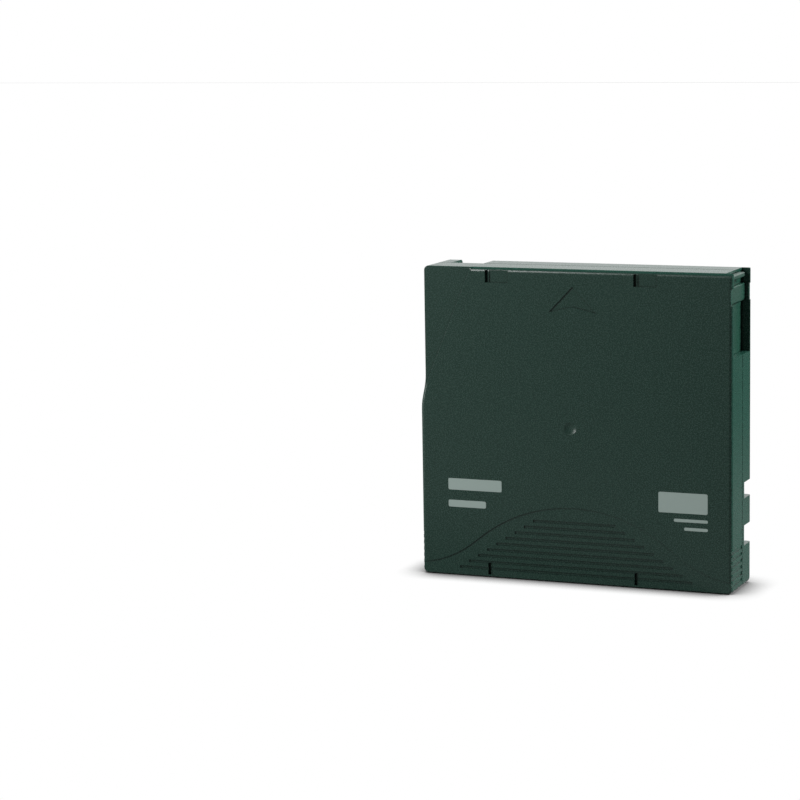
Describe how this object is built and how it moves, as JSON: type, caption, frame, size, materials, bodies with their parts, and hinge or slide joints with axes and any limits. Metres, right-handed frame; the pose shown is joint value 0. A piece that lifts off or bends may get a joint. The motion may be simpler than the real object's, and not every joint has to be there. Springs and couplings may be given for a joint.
{
  "type": "data tape cartridge",
  "caption": "Slim rectangular cartridge with one braked tape reel, a sprung sliding access door, a leader pin and a write-protect slider.",
  "frame": {"origin": "under the middle of the rear end, the end that the cartridge stands on", "axes": "+Z towards the front insertion end, +X towards the side with the access door, +Y out of the face with the hub opening"},
  "size_m": [0.1054, 0.0216, 0.102],
  "materials": {
    "case_plastic": "finely spark-textured moulded polycarbonate",
    "reel_plastic": "moulded, satin",
    "brake_plastic": "moulded, satin",
    "slider_plastic": "moulded, satin",
    "tape_film": "smooth wound film",
    "drive_steel": "stamped, brushed",
    "pin_steel": "turned, polished",
    "spring_steel": "drawn wire",
    "screw_steel": "black zinc",
    "board_resin": "coated board",
    "chip_resin": "moulded"
  },
  "bodies": {
    "case": {"upper_shell": "case_plastic", "lower_shell": "case_plastic", "door_spring": "spring_steel", "leader_pin": "pin_steel", "leader_pin_clamp": "brake_plastic", "tape_leader": "tape_film", "pin_spring_upper": "spring_steel", "pin_spring_lower": "spring_steel", "memory_board": "board_resin", "memory_chip": "chip_resin", "case_screws": "screw_steel", "brake_spring": "spring_steel"},
    "door": {"access_door": "case_plastic"},
    "write_protect": {"write_protect_slider": "slider_plastic"},
    "reel": {"reel_hub": "reel_plastic", "upper_flange": "reel_plastic", "tape_pack": "tape_film", "drive_plate": "drive_steel"},
    "release": {"release_pad": "brake_plastic"},
    "brake": {"brake_button": "brake_plastic"}
  },
  "joints": [
    {"name": "door_slide", "type": "slide", "parent": "case", "child": "door", "axis": [0, 0, -1], "range_m": [0, 0.0162], "stiffness_N_per_m": 20, "springref_m": -0.01, "deforming": ["door_spring"]},
    {"name": "write_protect_slide", "type": "slide", "parent": "case", "child": "write_protect", "axis": [1, 0, 0], "range_m": [0, 0.0064]},
    {"name": "reel_spin", "type": "hinge", "parent": "case", "child": "reel", "pos_m": [-0.001, 0, 0.0508], "axis": [0, 1, 0], "continuous": true},
    {"name": "release_press", "type": "slide", "parent": "reel", "child": "release", "axis": [0, -1, 0], "range_m": [0, 0.0018], "stiffness_N_per_m": 400, "springref_m": -0.004},
    {"name": "brake_lift", "type": "slide", "parent": "case", "child": "brake", "axis": [0, -1, 0], "range_m": [0, 0.0018], "deforming": ["brake_spring"]}
  ],
  "couplings": [
    {"joint": "brake_lift", "follows": "release_press", "ratio": 1}
  ]
}
